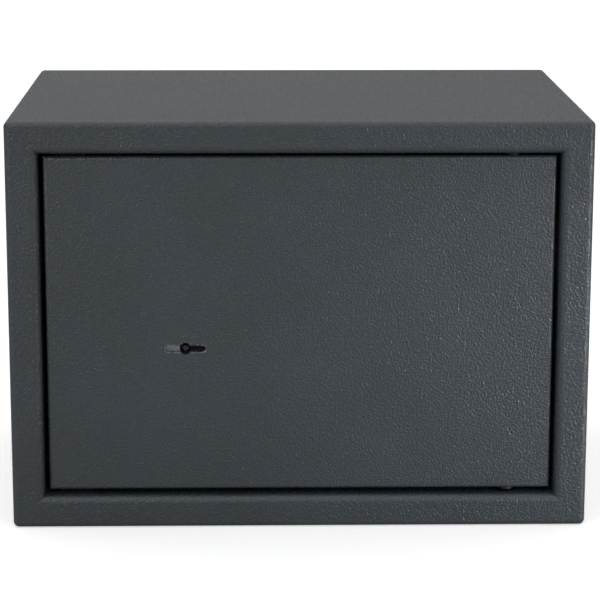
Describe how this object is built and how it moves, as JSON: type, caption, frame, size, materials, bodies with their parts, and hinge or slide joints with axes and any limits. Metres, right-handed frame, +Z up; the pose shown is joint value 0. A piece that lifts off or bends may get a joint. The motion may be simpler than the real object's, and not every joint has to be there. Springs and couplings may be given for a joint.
{
  "type": "key-locked steel safe",
  "caption": "Small key-locked steel safe with an inset door on concealed pivots, lever lock and sliding locking bolts.",
  "frame": {"origin": "middle of the underside", "axes": "+X to the right seen from the front, +Y from the door to the back, +Z up"},
  "size_m": [0.35, 0.25, 0.25],
  "materials": {
    "paint": "textured powder coat",
    "paint_inner": "satin",
    "steel": "satin",
    "zinc": "zinc plated",
    "chrome": "polished",
    "brass": "satin",
    "nylon": "matte",
    "felt": "matte"
  },
  "bodies": {
    "cabinet": {"body_shell": "paint", "back_panel": "paint", "floor_mat": "felt", "door_stops": "paint", "hinge_bush_upper": "brass", "hinge_bush_lower": "brass", "frame_rail_top": "paint", "frame_rail_bottom": "paint", "frame_rail_left": "paint", "frame_rail_right": "paint"},
    "door": {"door_plate": "paint", "door_cover": "paint_inner", "hinge_bracket_upper": "steel", "hinge_bracket_lower": "steel", "lock_cover_screws": "steel", "key_post": "steel", "lever_post": "steel", "hinge_pin_upper": "zinc", "hinge_pin_lower": "zinc", "bolt_guide": "zinc", "cover_posts": "zinc", "cover_screws": "zinc", "lock_case": "zinc", "lock_cover": "zinc", "lock_studs": "zinc", "lock_nuts": "zinc", "hinge_washers": "nylon"},
    "boltwork": {"locking_bolt_upper": "chrome", "locking_bolt_lower": "chrome", "bolt_bar": "zinc", "bolt_screws": "steel", "lock_tongue": "steel", "tongue_pin": "steel", "fence_pin": "steel"},
    "lever_1": {"lever_1": "brass", "lever_spring_1": "steel"},
    "lever_2": {"lever_2": "brass", "lever_spring_2": "steel"},
    "lever_3": {"lever_3": "brass", "lever_spring_3": "steel"},
    "lever_4": {"lever_4": "brass", "lever_spring_4": "steel"},
    "lever_5": {"lever_5": "brass", "lever_spring_5": "steel"},
    "lever_6": {"lever_6": "brass", "lever_spring_6": "steel"}
  },
  "joints": [
    {"name": "door_hinge", "type": "hinge", "parent": "cabinet", "child": "door", "pos_m": [0.1272, -0.111, 0.125], "axis": [0, 0, 1], "range_deg": [0, 135]},
    {"name": "bolt_throw", "type": "slide", "parent": "door", "child": "boltwork", "axis": [-1, 0, 0], "range_m": [0, 0.015]},
    {"name": "lever_1_drop", "type": "hinge", "parent": "door", "child": "lever_1", "pos_m": [-0.0361, -0.11182, 0.13], "axis": [0, -1, 0], "range_deg": [0, 4.8], "stiffness_Nm_per_rad": 0.02, "springref_deg": 28.65},
    {"name": "lever_2_drop", "type": "hinge", "parent": "door", "child": "lever_2", "pos_m": [-0.0361, -0.11048, 0.13], "axis": [0, -1, 0], "range_deg": [0, 4.8], "stiffness_Nm_per_rad": 0.02, "springref_deg": 28.65},
    {"name": "lever_3_drop", "type": "hinge", "parent": "door", "child": "lever_3", "pos_m": [-0.0361, -0.10912, 0.13], "axis": [0, -1, 0], "range_deg": [0, 4.8], "stiffness_Nm_per_rad": 0.02, "springref_deg": 28.65},
    {"name": "lever_4_drop", "type": "hinge", "parent": "door", "child": "lever_4", "pos_m": [-0.0361, -0.10777, 0.13], "axis": [0, -1, 0], "range_deg": [0, 4.8], "stiffness_Nm_per_rad": 0.02, "springref_deg": 28.65},
    {"name": "lever_5_drop", "type": "hinge", "parent": "door", "child": "lever_5", "pos_m": [-0.0361, -0.10643, 0.13], "axis": [0, -1, 0], "range_deg": [0, 4.8], "stiffness_Nm_per_rad": 0.02, "springref_deg": 28.65},
    {"name": "lever_6_drop", "type": "hinge", "parent": "door", "child": "lever_6", "pos_m": [-0.0361, -0.10508, 0.13], "axis": [0, -1, 0], "range_deg": [0, 4.8], "stiffness_Nm_per_rad": 0.02, "springref_deg": 28.65}
  ]
}
